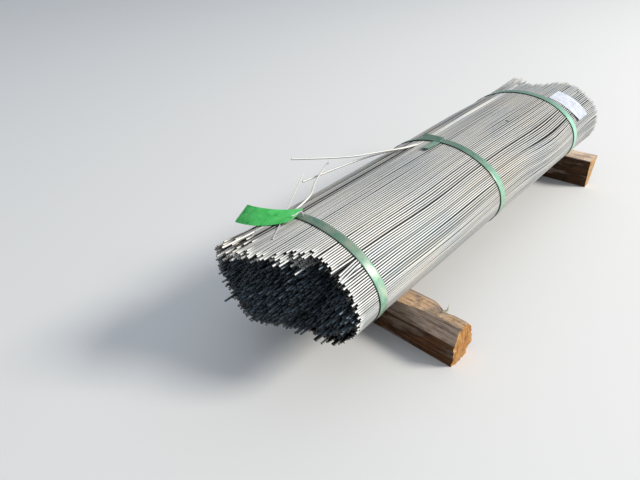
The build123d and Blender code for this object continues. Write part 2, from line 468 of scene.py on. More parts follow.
def sprung_line(index, held_from, held_to, climb_length, free_points):
    """A rod that lies in the outer row and leaves it at its second end. It climbs out over a
    length in mm, and free_points are in mm from there."""
    held = rod_line(index, held_from, held_to, held_points)
    climbed = held[-1] + np.array((0, climb_length, climb_height)) * MM
    free = [climbed + np.array(point) * MM for point in free_points]
    return np.concatenate([held[:-1], smooth_line([held[-1], climbed] + free)])


slid_far_end = near_end + rod_length - 80 * MM
middle_leaves = strap_edges[1] - 16 * MM
front_leaves = strap_edges[0] + strap_width + 16 * MM
sprung_lines = [
    sprung_line(sprung_indices[0], slid_far_end - 4 * MM, middle_leaves, -42,
                [(-33, -65, 5), (-62, -135, 11), (-116, -235, 33.4)]),
    sprung_line(sprung_indices[1], slid_far_end + 3 * MM, middle_leaves, -42,
                [(-32, -60, -1), (-59, -120, -6), (-82, -234, -8)]),
    sprung_line(sprung_indices[2], near_end - 80 * MM, front_leaves, 42,
                [(-26, 34, 3), (-46, 74, 7), (-64, 120, 10)]),
]
sprung_tones = np.array([0.9, 0.5, 1.0])

# Near ends of the outer rods
skin_x, skin_z = on_oval(row_places, row_depths).T
unslid = unslid_share(skin_x, np.clip(level_at(skin_z), 0, 1))
low = skin_z < low_height
stagger = end_stagger * (1 - 0.55 * unslid) * np.where(low, 0.6, 1)
skin_start = rod_start(skin_x, skin_z) + rng.uniform(-1, 1, skin_count) * stagger
further_out = (skin_x > low_right[0]) & (skin_x < low_right[1]) & low
further_out &= rng.random(skin_count) < low_right_share
skin_start -= np.where(further_out, rng.uniform(*low_right_mm, skin_count) * MM, 0)
for place_from, place_to, back_from, back_to, share in slid_back:
    chosen = (row_places > place_from * MM) & (row_places < place_to * MM)
    chosen &= rng.random(skin_count) < share
    skin_start += np.where(chosen, rng.uniform(back_from, back_to, skin_count) * MM, 0)
skin_start = np.clip(skin_start, cad_low.y + 0.5 * MM, cad_high.y - 1 * MM - rod_length)

# Lines and tones of the outer rods. The second row is seen only between the outer rods, and its
# low tones are painted shade in the gaps. At 0 its tips get no painted light either.
second_row_shade_tone = 0.05
# The second row's painted shade is lighter where the far corner fans out
fanned_corner_shade_tone = 0.3  # of the second row, where the far corner fans out
skin_lines, skin_tones = [], []
for index in range(skin_count):
    tone = rng.uniform(0.1, 1) if outermost[index] else rng.uniform(0, second_row_shade_tone)
    if not outermost[index] and unslid[index] > 0.5:
        tone = 0.0
    if not outermost[index] and far_corner[index] > 0.3:
        tone = fanned_corner_shade_tone
    if index not in sprung_indices:
        start = skin_start[index]
        skin_lines.append(rod_line(index, start, start + rod_length, skin_points))
        skin_tones.append(tone)

# The rods inside, on a hexagonal grid that has been shaken and settled
grid_steps = np.arange(-60, 61)
grid = np.array([((column + 0.5 * (row % 2)) * heart_pitch, row * heart_pitch * math.sqrt(3) / 2)
                 for row in grid_steps for column in grid_steps])
heart_inset = 2 * row_pitch - 0.2 * MM
heart_oval = np.array([ROW_WIDTH - heart_inset, ROW_HEIGHT - heart_inset])
inside = ((grid / heart_oval) ** 2).sum(axis=1) < 1
heart = grid[inside] + rng.normal(0, heart_shake, (inside.sum(), 2))
second_row = on_oval(second_places, row_pitch) - np.array([0, centre_z])
heart = push_apart(heart, second_row, 2 * rod_radius, 14)
heart_x, heart_z = heart[:, 0], heart[:, 1] + centre_z
heart_count = len(heart)

# Their ends: more uneven among the unslid rods, and calmer along the underside
average_start = rod_start(heart_x, heart_z)
arch = arch_at(heart_x)
below_top = arch + centre_z - heart_z
calm = np.where(arch + heart_z - centre_z < calm_height, 0.5, 1)
stagger = end_stagger * (0.9 + 0.7 * unslid_share(heart_x, level_at(heart_z))) * calm
heart_start = average_start + hollow(heart_x, heart_z)
heart_start += rng.uniform(-1, 1, heart_count) * stagger
from_fold = heart_x - fold_middle(level_at(heart_z))
exposed = (below_top < exposed_depth) & (from_fold < exposed_right)
exposed |= (np.abs(from_fold - step_exposed) < step_reach) & (below_top < step_depth)
forward = exposed & (rng.random(heart_count) < forward_share)
heart_start -= np.where(forward, rng.uniform(*forward_mm, heart_count) * MM, 0)
# Exposed rods get tone 1, which keeps the painted shade off their near ends; the others get random
# tones
heart_tones = np.where(exposed, 1.0, rng.uniform(0, 0.9, heart_count))
stray = (rng.random(heart_count) < stray_share) & (calm == 1)
heart_start -= np.where(stray, rng.uniform(*stray_mm, heart_count) * MM, 0)
heart_start = np.maximum(heart_start, cad_low.y + 0.5 * MM)
heart_splay = rng.normal(0, heart_splay_size, (heart_count, 2, 2))
heart_end = average_start + rod_length + rng.uniform(-1, 1, heart_count) * end_stagger
heart_end = np.minimum(heart_end, cad_high.y - 2 * MM)
heart_lines = []
for x, z, start, end, (near_splay, far_splay) in zip(heart_x, heart_z, heart_start, heart_end,
                                                    heart_splay):
    near_x, near_z = near_splay * loosening(start)
    far_x, far_z = far_splay * loosening(end)
    heart_lines.append(np.array([
        (x + near_x, start, z + near_z),
        (x, strap_middles[0], z),
        (x, strap_middles[2], z),
        (x + far_x, end, z + far_z),
    ]))


# Geometry Nodes: lines to round bars
def bars_tree(name):
    """A node group that turns each chain of edges into a closed round bar."""
    tree = bpy.data.node_groups.new(name, "GeometryNodeTree")
    sockets = tree.interface
    sockets.new_socket("Lines", in_out="INPUT", socket_type="NodeSocketGeometry")
    radius = sockets.new_socket("Bar Radius", in_out="INPUT", socket_type="NodeSocketFloat")
    sides = sockets.new_socket("Bar Sides", in_out="INPUT", socket_type="NodeSocketInt")
    finish = sockets.new_socket("Finish", in_out="INPUT", socket_type="NodeSocketMaterial")
    sockets.new_socket("Bars", in_out="OUTPUT", socket_type="NodeSocketGeometry")
    nodes, links = tree.nodes, tree.links
    inputs = nodes.new("NodeGroupInput")
    to_curve = nodes.new("GeometryNodeMeshToCurve")
    section = nodes.new("GeometryNodeCurvePrimitiveCircle")
    to_mesh = nodes.new("GeometryNodeCurveToMesh")
    to_mesh.inputs["Fill Caps"].default_value = True
    realize = nodes.new("GeometryNodeRealizeInstances")
    set_finish = nodes.new("GeometryNodeSetMaterial")
    output = nodes.new("NodeGroupOutput")
    for start, end in (
        (inputs.outputs["Lines"], to_curve.inputs["Mesh"]),
        (inputs.outputs["Bar Radius"], section.inputs["Radius"]),
        (inputs.outputs["Bar Sides"], section.inputs["Resolution"]),
        (to_curve.outputs["Curve"], to_mesh.inputs["Curve"]),
        (section.outputs["Curve"], to_mesh.inputs["Profile Curve"]),
        (to_mesh.outputs["Mesh"], realize.inputs["Geometry"]),
        (realize.outputs["Geometry"], set_finish.inputs["Geometry"]),
        (inputs.outputs["Finish"], set_finish.inputs["Material"]),
        (set_finish.outputs["Geometry"], output.inputs["Bars"]),
    ):
        links.new(start, end)
    return tree, radius.identifier, sides.identifier, finish.identifier


bars, radius_input, sides_input, finish_input = bars_tree("bars_along_lines")


def bars_piece(name, lines, radius, sides, material, tones=None):
    """Bars along the lines, each with its own tone and shift of finish."""
    counts = np.array([len(line) for line in lines])
    firsts = np.concatenate([[0], np.cumsum(counts)[:-1]])
    edges = [(first + k, first + k + 1)
             for first, count in zip(firsts, counts) for k in range(count - 1)]
    mesh = bpy.data.meshes.new(name + "_lines")
    mesh.from_pydata(np.concatenate(lines).tolist(), edges, [])
    if tones is None:
        tones = rng.uniform(0, 1, len(lines))
    shifts = rng.uniform(0, 50, len(lines))
    from_end = []
    for line in lines:
        y = line[:, 1]
        from_end.append(np.minimum(np.abs(y - y[0]), np.abs(y - y[-1])))
    for label, values in (("tone", np.repeat(tones, counts)), ("shift", np.repeat(shifts, counts)),
                          ("from_end", np.concatenate(from_end))):
        attribute = mesh.attributes.new(label, "FLOAT", "POINT")
        attribute.data.foreach_set("value", values.astype(np.float32))
    holder = linked(name + "_lines", mesh)
    modifier = holder.modifiers.new("bars", "NODES")
    modifier.node_group = bars
    modifier[radius_input] = radius
    modifier[sides_input] = sides
    modifier[finish_input] = material
    return made_mesh(name, holder)


# Materials
class Shades:
    """A new material's or the sky's node tree, with short calls for the nodes it uses."""

    def __init__(self, name, owner=None):
        self.material = owner or bpy.data.materials.new(name)
        self.material.use_nodes = True
        self.nodes = self.material.node_tree.nodes
        self.links = self.material.node_tree.links
        self.shader = self.nodes["Background" if owner else "Principled BSDF"]
        places = self.nodes.new("ShaderNodeTexCoord").outputs
        self.object_place, self.facing = places["Object"], places["Normal"]
        self.direction = places["Generated"]

    def put(self, target, value):
        """Sets a socket, or links it."""
        if isinstance(value, bpy.types.NodeSocket):
            self.links.new(value, target)
        elif value is not None:
            target.default_value = value

    def coated(self, colour, roughness, normal):
        """The material, with its colour, roughness and relief put in."""
        for label, value in (("Base Color", colour), ("Roughness", roughness), ("Normal", normal)):
            self.put(self.shader.inputs[label], value)
        return self.material

    def attribute(self, name):
        node = self.nodes.new("ShaderNodeAttribute")
        node.attribute_name = name
        return node.outputs["Fac"]

    def uv(self, name):
        node = self.nodes.new("ShaderNodeUVMap")
        node.uv_map = name
        return node.outputs["UV"]

    def mapped(self, place, scale, offset=(0, 0, 0)):
        node = self.nodes.new("ShaderNodeMapping")
        self.put(node.inputs["Vector"], place)
        node.inputs["Scale"].default_value = scale
        node.inputs["Location"].default_value = offset
        return node.outputs["Vector"]

    def split(self, place):
        node = self.nodes.new("ShaderNodeSeparateXYZ")
        self.put(node.inputs[0], place)
        return node.outputs

    def join(self, x, y, z):
        node = self.nodes.new("ShaderNodeCombineXYZ")
        for target, value in zip(node.inputs, (x, y, z)):
            self.put(target, value)
        return node.outputs[0]

    def grey(self, value):
        return self.join(value, value, value)

    def math(self, operation, *values):
        node = self.nodes.new("ShaderNodeMath")
        node.operation = operation
        for target, value in zip(node.inputs, values):
            self.put(target, value)
        return node.outputs[0]

    def plus(self, first, second):
        return self.math("ADD", first, second)

    def times(self, first, second):
        return self.math("MULTIPLY", first, second)

    def larger(self, first, second):
        return self.math("MAXIMUM", first, second)

    def vector(self, operation, *values):
        node = self.nodes.new("ShaderNodeVectorMath")
        node.operation = operation
        for target, value in zip(node.inputs, values):
            self.put(target, value)
        return node.outputs["Value" if operation in ("DOT_PRODUCT", "DISTANCE") else "Vector"]

    def noise(self, place, scale, detail=3.0, roughness=0.55, distortion=0.0):
        node = self.nodes.new("ShaderNodeTexNoise")
        self.put(node.inputs["Vector"], place)
        node.inputs["Scale"].default_value = scale
        node.inputs["Detail"].default_value = detail
        node.inputs["Roughness"].default_value = roughness
        node.inputs["Distortion"].default_value = distortion
        return node.outputs["Fac"]

    def steps(self, value, *stops):
        """A colour ramp through (position, colour) stops."""
        node = self.nodes.new("ShaderNodeValToRGB")
        self.put(node.inputs["Fac"], value)
        ramp = node.color_ramp
        while len(ramp.elements) < len(stops):
            ramp.elements.new(0.5)
        for element, (position, colour) in zip(ramp.elements, stops):
            element.position = position
            element.color = (*colour, 1)
        return node.outputs["Color"]

    def range(self, value, low, high, to_low=0.0, to_high=1.0):
        node = self.nodes.new("ShaderNodeMapRange")
        for target, given in zip(node.inputs, (value, low, high, to_low, to_high)):
            self.put(target, given)
        return node.outputs[0]

    def mix(self, share, first, second, blend_type="MIX"):
        node = self.nodes.new("ShaderNodeMix")
        node.data_type = "RGBA"
        node.blend_type = blend_type
        self.put(node.inputs["Factor"], share)
        for target, value in ((node.inputs["A"], first), (node.inputs["B"], second)):
            self.put(target, (*value, 1) if isinstance(value, tuple) else value)
        return node.outputs["Result"]

    def tinted(self, colour, tint):
        """A colour multiplied by another."""
        return self.mix(1.0, colour, tint, "MULTIPLY")

    def bump(self, height, strength, distance, under=None):
        node = self.nodes.new("ShaderNodeBump")
        self.put(node.inputs["Height"], height)
        node.inputs["Strength"].default_value = strength
        node.inputs["Distance"].default_value = distance
        self.put(node.inputs["Normal"], under)
        return node.outputs["Normal"]


dark_spot = (50 * MM, 470 * MM, 0.0)  # x and y of a spot of dirt on the top rods
dark_spot_radius = 3.4 * MM
# Grey for each tone: up to 0.10 for the painted shade on the second row between the outer rods,
# and from there each rod's own tone
zinc_greys = ((0.0, 0.03), (0.05, 0.15), (0.10, 0.70), (0.30, 0.95), (1.0, 1.13))


def zinc_material(name, brightness=1.0, groove_shade=1.0, near_shade=None):
    """Dull zinc coat, weathered warm in places, with dark cut ends that also carry painted shade.
    Groove shade is painted shade on what faces away from the oval, near shade is painted shade on
    the hidden rods' ends, and the tips carry painted light."""
    shades = Shades(name)
    tone = shades.attribute("tone")
    shift = shades.attribute("shift")
    place = shades.split(shades.object_place)
    turned = shades.split(shades.facing)
    along_rod = shades.join(shift, shades.times(place["Y"], 9.0), shift)
    streaks = shades.noise(along_rod, 1.0, detail=5.0, roughness=0.65)
    patches = shades.noise(shades.mapped(shades.object_place, (1, 0.55, 1)), 7.0, detail=2.0)
    weathered = shades.plus(shades.times(streaks, 0.5), shades.times(patches, 0.55))
    colour = shades.steps(weathered, (0.38, (0.54, 0.575, 0.60)), (0.54, (0.66, 0.655, 0.625)),
                          (0.70, (0.68, 0.63, 0.545)))
    # Painted light on the tips, which light reaches all round, but not on the rods at tone 0,
    # which stay in painted shade
    painted_tip_light = shades.range(shades.attribute("from_end"), 4 * MM, 20 * MM, 1.0, 0.0)
    painted_tip_light = shades.times(painted_tip_light, shades.math("GREATER_THAN", tone, 0.0))
    tone = shades.larger(tone, shades.times(painted_tip_light, 0.8))
    greys = [(at, (grey * brightness,) * 3) for at, grey in zinc_greys]
    colour = shades.tinted(colour, shades.steps(tone, *greys))
    from_above = shades.mapped(shades.object_place, (1, 1, 0))
    from_spot = shades.vector("DISTANCE", from_above, dark_spot)
    spot = shades.range(from_spot, dark_spot_radius - 0.4 * MM, dark_spot_radius + 0.4 * MM,
                        0.02, 1.0)
    colour = shades.tinted(colour, shades.grey(spot))
    # Painted shade in the grooves between rods: faces that turn away from the oval are darkened
    if groove_shade < 1:
        flatten = (1 / ROW_WIDTH ** 2, 0, 1 / ROW_HEIGHT ** 2)
        outward = shades.mapped(shades.object_place, flatten, (0, 0, -centre_z / ROW_HEIGHT ** 2))
        outward = shades.vector("NORMALIZE", outward)
        outwards = shades.vector("DOT_PRODUCT", shades.facing, outward)
        lit = shades.range(outwards, 0.45, 0.99, groove_shade, 1.0)
        lit = shades.larger(lit, shades.times(painted_tip_light, 0.85))
        # The far corner fans out, so light reaches its grooves
        fanned = shades.times(shades.range(place["Y"], 0.66, 0.74, 0.0, 0.75),
                              shades.range(place["X"], -0.06, -0.03, 1.0, 0.0))
        colour = shades.tinted(colour, shades.grey(shades.larger(lit, fanned)))
    # Painted shade on the near ends of the rods inside, lifted where they face up as painted sky
    # light, and kept off the rods at tone 1
    if near_shade:
        dust_and_sky_light = shades.times(shades.range(turned["Z"], -0.2, 0.95, 0.12, 1.3),
                             shades.range(tone, 0.1, 0.9, 0.4, 1.45))
        dust_and_sky_light = shades.tinted(shades.grey(dust_and_sky_light), near_shade)
        near = shades.times(shades.range(place["Y"], -0.05, 0.5, 1.0, 0.0),
                            shades.range(tone, 0.92, 0.96, 1.0, 0.0))
        colour = shades.tinted(colour, shades.mix(near, (1.0, 1.0, 1.0), dust_and_sky_light))
    # Cut ends: dark bare steel, darkened further as painted shade
    cut = shades.range(shades.math("ABSOLUTE", turned["Y"]), 0.75, 0.95)
    colour = shades.mix(cut, colour, (0.03, 0.027, 0.025))
    shades.shader.inputs["Metallic"].default_value = 0.4
    grain = shades.noise(shades.mapped(shades.object_place, (1, 0.15, 1)), 900.0, detail=2.0)
    return shades.coated(colour, shades.range(streaks, 0.3, 0.7, 0.38, 0.55),
                         shades.bump(grain, 0.25, 0.2 * MM))


def timber_material(name, dark_tint, end_tint, pale_tint, patch_share):
    """Old rough timber: dark rusty faces, grey bevels, pale torn wood with grey patches, and
    split ends."""
    shades = Shades(name)
    sawn_end = shades.attribute("sawn_end")
    torn = shades.attribute("torn")
    place = shades.object_place
    grain = shades.noise(shades.mapped(place, (10, 150, 150)), 1.0, 6.0, 0.72, distortion=0.5)
    fibres = shades.noise(shades.mapped(place, (30, 900, 900)), 1.0, 3.0, 0.6)
    patches = shades.noise(place, 26.0, 5.0, 0.65)
    weathered = shades.steps(grain, (0.30, (0.025, 0.013, 0.007)), (0.45, (0.150, 0.065, 0.026)),
                             (0.58, (0.34, 0.145, 0.055)), (0.78, (0.48, 0.24, 0.11)))
    stains = shades.times(shades.range(patches, 0.52, 0.68), 0.8)
    weathered = shades.mix(stains, weathered, (0.022, 0.015, 0.011))
    weathered = shades.tinted(weathered, dark_tint)
    bevel = shades.steps(grain, (0.36, (0.06, 0.042, 0.034)), (0.43, (0.34, 0.245, 0.185)),
                         (0.58, (0.54, 0.415, 0.325)), (0.78, (0.70, 0.58, 0.48)))
    pale = shades.steps(fibres, (0.32, (0.20, 0.115, 0.06)), (0.48, (0.58, 0.39, 0.245)),
                        (0.66, (0.90, 0.72, 0.53)))
    grey_patch = shades.times(shades.range(patches, 0.50, 0.60), patch_share)
    pale = shades.mix(grey_patch, shades.tinted(pale, pale_tint), (0.15, 0.135, 0.12))
    colour = shades.mix(shades.range(torn, 0.08, 0.42), weathered, bevel)
    colour = shades.mix(shades.range(torn, 0.6, 0.95), colour, pale)
    split = shades.noise(shades.mapped(place, (40, 130, 42)), 1.0, 6.0, 0.7, distortion=0.8)
    end_colour = shades.steps(split, (0.34, (0.26, 0.11, 0.04)), (0.44, (0.62, 0.29, 0.09)),
                              (0.56, (0.82, 0.44, 0.15)), (0.68, (0.98, 0.80, 0.52)))
    colour = shades.mix(sawn_end, colour, shades.tinted(end_colour, end_tint))
    relief = shades.plus(grain, shades.times(fibres, 0.4))
    relief = shades.plus(relief, shades.times(shades.times(split, sawn_end), 1.2))
    return shades.coated(colour, shades.range(grain, 0.3, 0.7, 0.82, 0.95),
                         shades.bump(relief, 0.9, 2 * MM))


emboss_pitch = 2.2 * MM


def strap_material(name, top_shade=0.47):
    """Green plastic strapping, embossed and glossy, with dust on it, darker on its top, with a
    painted highlight on its sides and painted shade along its edges.
    """
    shades = Shades(name)
    strip = shades.split(shades.uv("strip"))
    place = shades.object_place
    dust = shades.noise(place, 45.0, detail=5.0, roughness=0.65)
    scuffs = shades.noise(shades.mapped(shades.uv("strip"), (60, 900, 1)), 1.0, 3.0, 0.7)
    far = shades.split(place)["Y"]
    green = shades.steps(scuffs, (0.35, (0.11, 0.32, 0.22)), (0.62, (0.24, 0.47, 0.34)))
    green = shades.mix(shades.range(far, 0.3, 0.66, 0.0, 0.8), green, (0.30, 0.62, 0.48))
    dust_and_sky_light = shades.times(shades.range(dust, 0.38, 0.66), shades.range(far, -0.1, 0.6, 0.75, 0.25))
    green = shades.mix(dust_and_sky_light, green, (0.50, 0.56, 0.43))
    # Darker on top, and a painted highlight on the sides, where the factor goes above 1
    dirt_and_sheen = shades.range(shades.split(shades.facing)["Z"], 0.66, 0.97, 1.35, top_shade)
    green = shades.tinted(green, shades.grey(dirt_and_sheen))
    # Painted shade along both edges of the strap
    rim = shades.range(shades.math("ABSOLUTE", strip["Y"]), 8.7 * MM, 9.1 * MM)
    colour = shades.mix(rim, green, (0.012, 0.03, 0.02))
    along, across = (shades.math("SINE", shades.times(strip[axis], 2 * math.pi / emboss_pitch))
                     for axis in ("X", "Y"))
    emboss = shades.bump(shades.times(along, across), 0.2, 0.2 * MM)
    ripple = shades.noise(shades.mapped(shades.uv("strip"), (38, 60, 1)), 1.0, detail=2.0)
    return shades.coated(colour, shades.range(dust, 0.4, 0.7, 0.16, 0.34),
                         shades.bump(ripple, 0.5, 1.2 * MM, emboss))


def paper_material(name):
    """White paper label with seven faint ruled lines, a little soiled."""
    shades = Shades(name)
    sheet = shades.split(shades.uv("sheet"))
    soil = shades.noise(shades.object_place, 60.0, detail=5.0, roughness=0.7)
    paper = shades.steps(soil, (0.38, (0.70, 0.74, 0.82)), (0.66, (0.52, 0.55, 0.62)))
    ruled = shades.math("LESS_THAN", shades.math("FRACT", shades.times(sheet["Y"], 7.0)), 0.07)
    from_middle = shades.math("ABSOLUTE", shades.math("SUBTRACT", sheet["X"], 0.5))
    line = shades.times(ruled, shades.math("LESS_THAN", from_middle, 0.43))
    colour = shades.mix(shades.times(line, 0.5), paper, (0.42, 0.47, 0.58))
    crease = shades.noise(shades.object_place, 130.0, detail=3.0)
    return shades.coated(colour, 0.6, shades.bump(crease, 0.3, 0.6 * MM))


def tag_material(name):
    """Bright green card, creased, with dirty smudges and pale handled edges."""
    shades = Shades(name)
    sheet = shades.split(shades.uv("sheet"))
    smudge = shades.noise(shades.object_place, 75.0, detail=4.0, roughness=0.6)
    colour = shades.steps(smudge, (0.30, (0.05, 0.50, 0.09)), (0.42, (0.08, 0.74, 0.14)),
                          (0.68, (0.15, 0.86, 0.22)))
    from_edge = shades.math("MINIMUM", sheet["X"], shades.math("SUBTRACT", 1.0, sheet["X"]))
    worn = shades.range(from_edge, 0.0, 0.035, 0.6, 0.0)
    crease = shades.noise(shades.mapped(shades.object_place, (1, 2.5, 1)), 55.0, detail=3.0)
    return shades.coated(shades.mix(worn, colour, (0.38, 0.68, 0.40)), 0.42,
                         shades.bump(crease, 0.5, 1.2 * MM))


def cord_material(name):
    """White twisted cord, slightly grey with dirt."""
    shades = Shades(name)
    dirt_and_sheen = shades.noise(shades.object_place, 300.0, detail=3.0)
    colour = shades.steps(dirt_and_sheen, (0.30, (0.60, 0.60, 0.58)), (0.5, (0.84, 0.85, 0.84)))
    strands = shades.noise(shades.object_place, 1600.0)
    return shades.coated(colour, 0.7, shades.bump(strands, 0.6, 0.3 * MM))


def fresh_wood_material(name):
    """Pale wood that light passes into, just torn open."""
    shades = Shades(name)
    for label, value in (("Subsurface Weight", 1.0), ("Subsurface Scale", 6 * MM),
                         ("Subsurface Radius", (1.0, 0.85, 0.6))):
        shades.shader.inputs[label].default_value = value
    fibres = shades.noise(shades.mapped(shades.object_place, (1, 1, 0.1)), 900.0)
    return shades.coated((0.98, 0.90, 0.74, 1), 0.7, shades.bump(fibres, 0.4, 0.4 * MM))


# The rods: the outer ones with painted shade in their grooves, the inner ones with painted shade
# on their near ends
zinc = zinc_material("dull_zinc", 1.01, groove_shade=0.06)
inner_zinc = zinc_material("inner_zinc", near_shade=(0.20, 0.26, 0.32))
free_zinc = zinc_material("free_zinc", 1.1)

skin = bars_piece("skin_rods", skin_lines, rod_radius, skin_sides, zinc, np.array(skin_tones))
finished(skin, "outer_rods")
hearts = bars_piece("heart_rods", heart_lines, rod_radius, heart_sides, inner_zinc, heart_tones)
finished(hearts, "inner_rods")
sprung = bars_piece("sprung_rods", sprung_lines, rod_radius, sprung_sides, free_zinc, sprung_tones)
finished(sprung, "loose_rods")


def grid_faces(rows, columns, closed_rows=False):
    """Quads between points in rows and columns, closed across the columns."""
    faces = []
    for row in range(rows if closed_rows else rows - 1):
        next_row = (row + 1) % rows
        for column in range(columns):
            next_column = (column + 1) % columns
            faces.append((row * columns + column, row * columns + next_column,
                          next_row * columns + next_column, next_row * columns + column))
    return faces


def fix_normals(mesh):
    """Turns a closed mesh's faces outwards."""
    work = bmesh.new()
    work.from_mesh(mesh)
    bmesh.ops.recalc_face_normals(work, faces=work.faces)
    work.to_mesh(mesh)
    work.free()


# Straps: flat strips with rounded edges
def strip_section(width, thickness):
    """Points round a strip's section, as (across, out)."""
    edge = thickness / 2
    turn = np.radians(np.array([-90, -30, 30, 90]))
    right = np.stack([width / 2 - edge + edge * np.cos(turn), edge * np.sin(turn)], axis=1)
    flats = np.linspace(width / 2 - edge, -width / 2 + edge, 5)[1:-1]
    top = np.stack([flats, np.full(3, edge)], axis=1)
    left = np.stack([-right[::-1, 0], right[::-1, 1]], axis=1)
    bottom = np.stack([flats[::-1], np.full(3, -edge)], axis=1)
    return np.concatenate([right, top, left, bottom])


strap_section = strip_section(strap_width, strap_thickness)


def strip_piece(name, middles, acrosses, outs, material, closed=False):
    """A strip along its middles, with a UV map of its length and width in metres."""
    count, columns = len(middles), len(strap_section)
    points = (middles[:, None] + acrosses[:, None] * strap_section[None, :, :1]
              + outs[:, None] * strap_section[None, :, 1:])
    faces = grid_faces(count, columns, closed_rows=closed)
    ring_faces = len(faces)
    if not closed:
        last = (count - 1) * columns
        faces += [tuple(reversed(range(columns))), tuple(range(last, last + columns))]
    mesh = bpy.data.meshes.new(name)
    mesh.from_pydata(points.reshape(-1, 3).tolist(), [], faces)
    runs = np.linalg.norm(np.diff(np.concatenate([middles, middles[:1]]), axis=0), axis=1)
    lengths = np.concatenate([[0], np.cumsum(runs)])
    layer = mesh.uv_layers.new(name="strip")
    places = np.zeros((len(mesh.loops), 2))
    for index in range(ring_faces):
        row, column = divmod(index, columns)
        around = ((row, column), (row, column + 1), (row + 1, column + 1), (row + 1, column))
        for loop, (r, c) in enumerate(around):
            places[4 * index + loop] = (lengths[r], strap_section[c % columns, 0])
    layer.data.foreach_set("uv", places.ravel().astype(np.float32))
    mesh.materials.append(material)
    mesh.shade_smooth()
    mesh.set_sharp_from_angle(angle=math.radians(50))
    piece = linked(name, mesh)
    fix_normals(mesh)
    return piece


def upright(plane):
    """x and z as directions or places with y at 0."""
    return np.stack([plane[:, 0], np.zeros(len(plane)), plane[:, 1]], axis=1)


def strap_loop(edge, along, lift):
    """Middles, across and out directions of a strap, at lengths round the oval and lifts above
    it."""
    inner, outer = on_oval(along), on_oval(along, -10 * MM)
    out = (outer - inner) / (10 * MM)
    at = inner + out * (rod_radius + strap_gap + strap_thickness / 2 + lift)[:, None]
    middles = upright(at) + (0, edge + strap_width / 2, 0)
    acrosses = np.tile((0.0, 1.0, 0.0), (len(along), 1))
    return middles, acrosses, upright(out)


green_strapping = strap_material("green_strapping")
strap_rings = 260
strap_lift = 0.7 * MM
strap_ripple = 0.2 * MM
strap_sway = 0.35 * MM  # along the rods
strap_twist = 0.012


def closed_strap(name, edge, seed):
    """A strap all round the bundle, wavering slightly."""
    along = np.linspace(0, oval_length, strap_rings, endpoint=False)
    turns = along / oval_length * 2 * math.pi
    lift = strap_lift + strap_ripple * np.sin(9 * turns + seed)
    middles, acrosses, outs = strap_loop(edge, along, lift)
    middles[:, 1] += strap_sway * np.sin(3 * turns + seed)
    middles[:, 1] += strap_ripple * np.sin(7 * turns + 2 * seed)
    acrosses = acrosses + outs * (strap_twist * np.sin(5 * turns + seed))[:, None]
    acrosses /= np.linalg.norm(acrosses, axis=1)[:, None]
    return strip_piece(name, middles, acrosses, outs, green_strapping, closed=True)


finished(closed_strap("front_strap", strap_edges[0], 0.7), "strap_front")
finished(closed_strap("back_strap", strap_edges[2], 4.1), "strap_back")
finished(closed_strap("middle_strap", strap_edges[1], 2.3), "strap_middle")


def turned_strip(first, second, angle):
    """Two directions turned together by an angle."""
    cosine, sine = np.cos(angle)[:, None], np.sin(angle)[:, None]
    return first * cosine + second * sine, second * cosine - first * sine


# The middle strap's joint: a second layer, askew, where its ends are welded
joint_share = np.linspace(0, 1, 24)
joint_along = blend(oval_angle(92), oval_angle(112), joint_share)
joint_lift = strap_thickness + 0.85 * MM + 2.0 * MM * smooth((joint_share - 0.55) / 0.45)
joint_middles, joint_across, joint_out = strap_loop(strap_edges[1], joint_along, joint_lift)
joint_middles[:, 1] += (2 + 3.5 * joint_share) * MM
joint_across, joint_out = turned_strip(joint_across, joint_out, 0.15 + 0.35 * joint_share)
joint = strip_piece("strap_joint", joint_middles, joint_across, joint_out, green_strapping)

# Its free end, folded forward
tail_length = 51 * MM
tail_rise = 4.0 * MM
tail_slant = 4.5 * MM
tail_share = np.linspace(0, 1, 20)
tail_places = np.full(20, oval_angle(94.4))
tail_at = on_oval(tail_places)
tail_plane = on_oval(tail_places, -1.0) - tail_at
tail_out = upright(tail_plane)
tail_right = upright(np.stack([tail_plane[:, 1], -tail_plane[:, 0]], axis=1))
tail_lift = rod_radius + strap_gap + strap_thickness / 2 + tail_rise * smooth(tail_share) ** 1.3
tail_middles = upright(tail_at) + tail_out * tail_lift[:, None]
tail_middles += tail_right * (tail_slant * tail_share)[:, None]
tail_middles[:, 1] += strap_edges[1] + 3 * MM - tail_share * (tail_length + 1 * MM)
tail_across, tail_normal = turned_strip(tail_right, tail_out, 0.12 * tail_share)
tail = strip_piece("strap_tail", tail_middles, tail_across, tail_normal,
                   strap_material("dusty_strapping", 0.85))
for piece in (joint, tail):
    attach(piece, "root")


# Thin sheets, cut to an outline and laid in place
def inside_loop(loop, u, v):
    """True inside a closed loop of flat points."""
    inside = False
    for (u1, v1), (u2, v2) in zip(loop, loop[1:] + loop[:1]):
        if (v1 > v) != (v2 > v) and u < (u2 - u1) * (v - v1) / (v2 - v1) + u1:
            inside = not inside
    return inside


